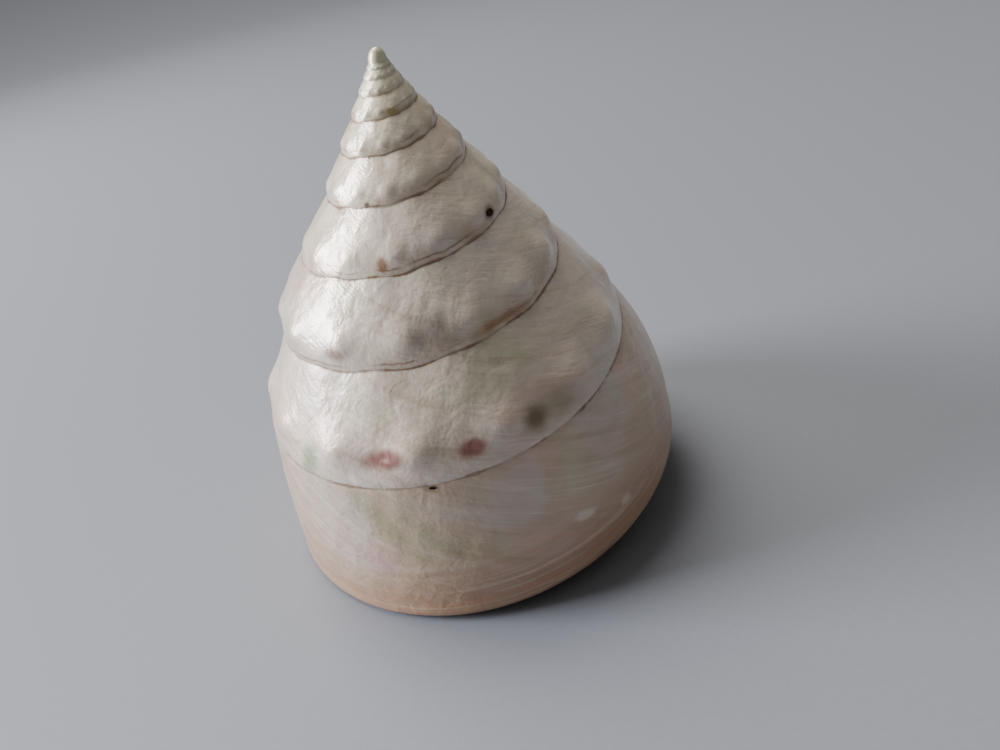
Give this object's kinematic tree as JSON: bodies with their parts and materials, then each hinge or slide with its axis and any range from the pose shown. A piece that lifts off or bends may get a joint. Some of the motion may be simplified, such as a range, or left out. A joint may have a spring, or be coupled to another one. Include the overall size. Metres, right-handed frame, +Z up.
{
  "type": "turban shell",
  "caption": "Conical spiral sea shell of polished mother-of-pearl, with low knobs above the seams of its upper whorls and an open mouth at the back, standing on its own base.",
  "frame": {"origin": "centre of the footprint, on the surface the shell stands on", "axes": "+Z up towards the apex, -Y the side that faces the viewer in the picture, +X the viewer's right"},
  "size_m": [0.076, 0.0764, 0.0853],
  "materials": {
    "nacre": null
  },
  "bodies": {
    "root": {"shell": "nacre"}
  },
  "joints": []
}
